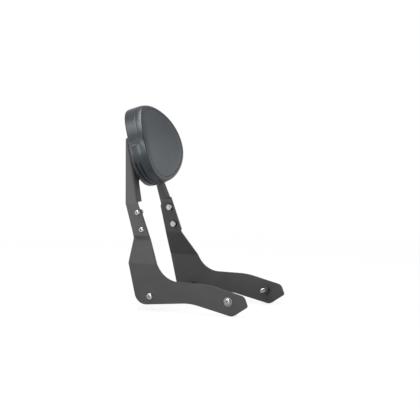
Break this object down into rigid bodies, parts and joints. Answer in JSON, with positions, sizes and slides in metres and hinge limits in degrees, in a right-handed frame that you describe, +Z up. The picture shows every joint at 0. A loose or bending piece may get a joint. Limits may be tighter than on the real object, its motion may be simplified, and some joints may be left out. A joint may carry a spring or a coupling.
{
  "type": "motorcycle sissy bar",
  "caption": "Passenger backrest for a motorcycle: folded black side plates, bolted to the fender rails, carry a folded sheet yoke with a curved oval padded backrest.",
  "frame": {"origin": "On the mid-plane, midway between the rear and front mounting bolts, at the height of their axes.", "axes": "X to the front of the motorcycle, Y to its left, Z up."},
  "size_m": [0.3606, 0.245, 0.4867],
  "materials": {
    "powder_coat": "satin black powder coat",
    "vinyl": "fine-grained black vinyl",
    "pan_plastic": "moulded black plastic",
    "bolt_steel": "polished stainless steel",
    "plated_steel": "zinc plated",
    "spacer_steel": "black",
    "insert_brass": "turned"
  },
  "bodies": {
    "root": {"side_plate_right": "powder_coat", "side_plate_left": "powder_coat", "backrest_yoke": "powder_coat", "pad_cushion": "vinyl", "pad_base_pan": "pan_plastic", "upright_bolts_right": "bolt_steel", "upright_bolts_left": "bolt_steel", "rear_mount_bolt_right": "bolt_steel", "rear_mount_bolt_left": "bolt_steel", "front_mount_bolt_right": "bolt_steel", "front_mount_bolt_left": "bolt_steel", "pad_screws_right": "bolt_steel", "pad_screws_left": "bolt_steel", "upright_washers_right": "plated_steel", "upright_washers_left": "plated_steel", "upright_nuts_right": "plated_steel", "upright_nuts_left": "plated_steel", "front_mount_washer_right": "plated_steel", "front_mount_washer_left": "plated_steel", "pad_screw_washers_right": "plated_steel", "pad_screw_washers_left": "plated_steel", "rear_spacer_right": "spacer_steel", "rear_spacer_left": "spacer_steel", "front_spacer_right": "spacer_steel", "front_spacer_left": "spacer_steel", "pad_inserts_right": "insert_brass", "pad_inserts_left": "insert_brass"}
  },
  "joints": []
}
